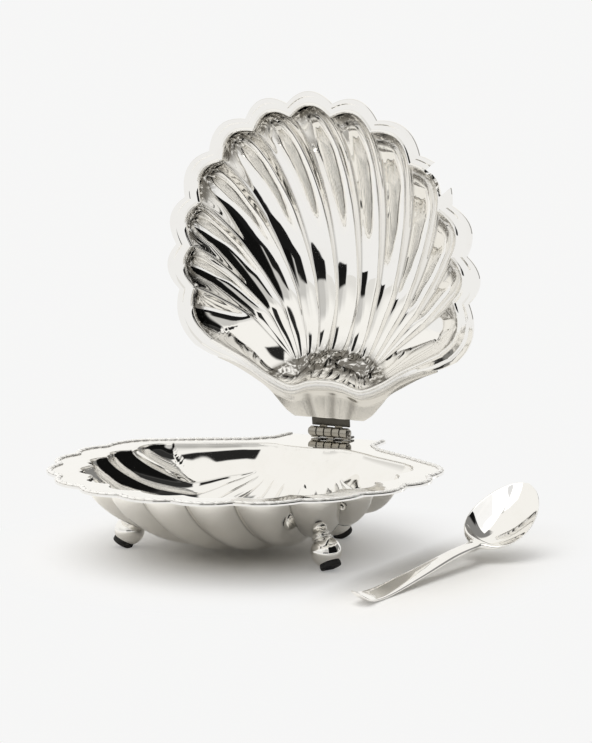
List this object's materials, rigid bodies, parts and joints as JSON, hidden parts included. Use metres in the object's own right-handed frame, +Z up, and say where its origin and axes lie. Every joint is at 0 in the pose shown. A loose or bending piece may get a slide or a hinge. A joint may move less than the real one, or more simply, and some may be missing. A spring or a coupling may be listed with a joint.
{
  "type": "shell dish",
  "caption": "Polished silver scallop-shell serving dish with a hinged fluted lid, beaded rim and ball feet, with its loose teaspoon.",
  "frame": {"origin": "the table under the middle of the shell's plan", "axes": "+Z up from the table, +Y towards the hinge, +X towards the side where the spoon lies"},
  "size_m": [0.1955, 0.179, 0.1888],
  "materials": {
    "silver": "polished",
    "beaded_silver": "polished",
    "foot_silver": "polished",
    "pin_silver": "satin",
    "rubber": "matte"
  },
  "bodies": {
    "base": {"base_bowl": "silver", "base_bead_border": "beaded_silver", "base_hinge_leaf": "silver", "hinge_pin": "pin_silver", "foot_ball_front_left": "foot_silver", "foot_ball_front_right": "foot_silver", "foot_ball_back_left": "foot_silver", "foot_ball_back_right": "foot_silver", "foot_collar_front_left": "foot_silver", "foot_collar_front_right": "foot_silver", "foot_collar_back_left": "foot_silver", "foot_collar_back_right": "foot_silver", "foot_pad_front_left": "rubber", "foot_pad_front_right": "rubber", "foot_pad_back_left": "rubber", "foot_pad_back_right": "rubber"},
    "lid": {"lid_shell": "silver", "lid_hinge_apron": "silver", "lid_hinge_leaf": "silver"},
    "spoon": {"spoon": "silver"}
  },
  "joints": [
    {"name": "lid_hinge", "type": "hinge", "parent": "base", "child": "lid", "pos_m": [0, 0.072, 0.0389], "axis": [1, 0, 0], "range_deg": [0, 84]},
    {"name": "spoon_lift", "type": "slide", "parent": "base", "child": "spoon", "axis": [0, 0, 1], "range_m": [0, 0.12]}
  ]
}
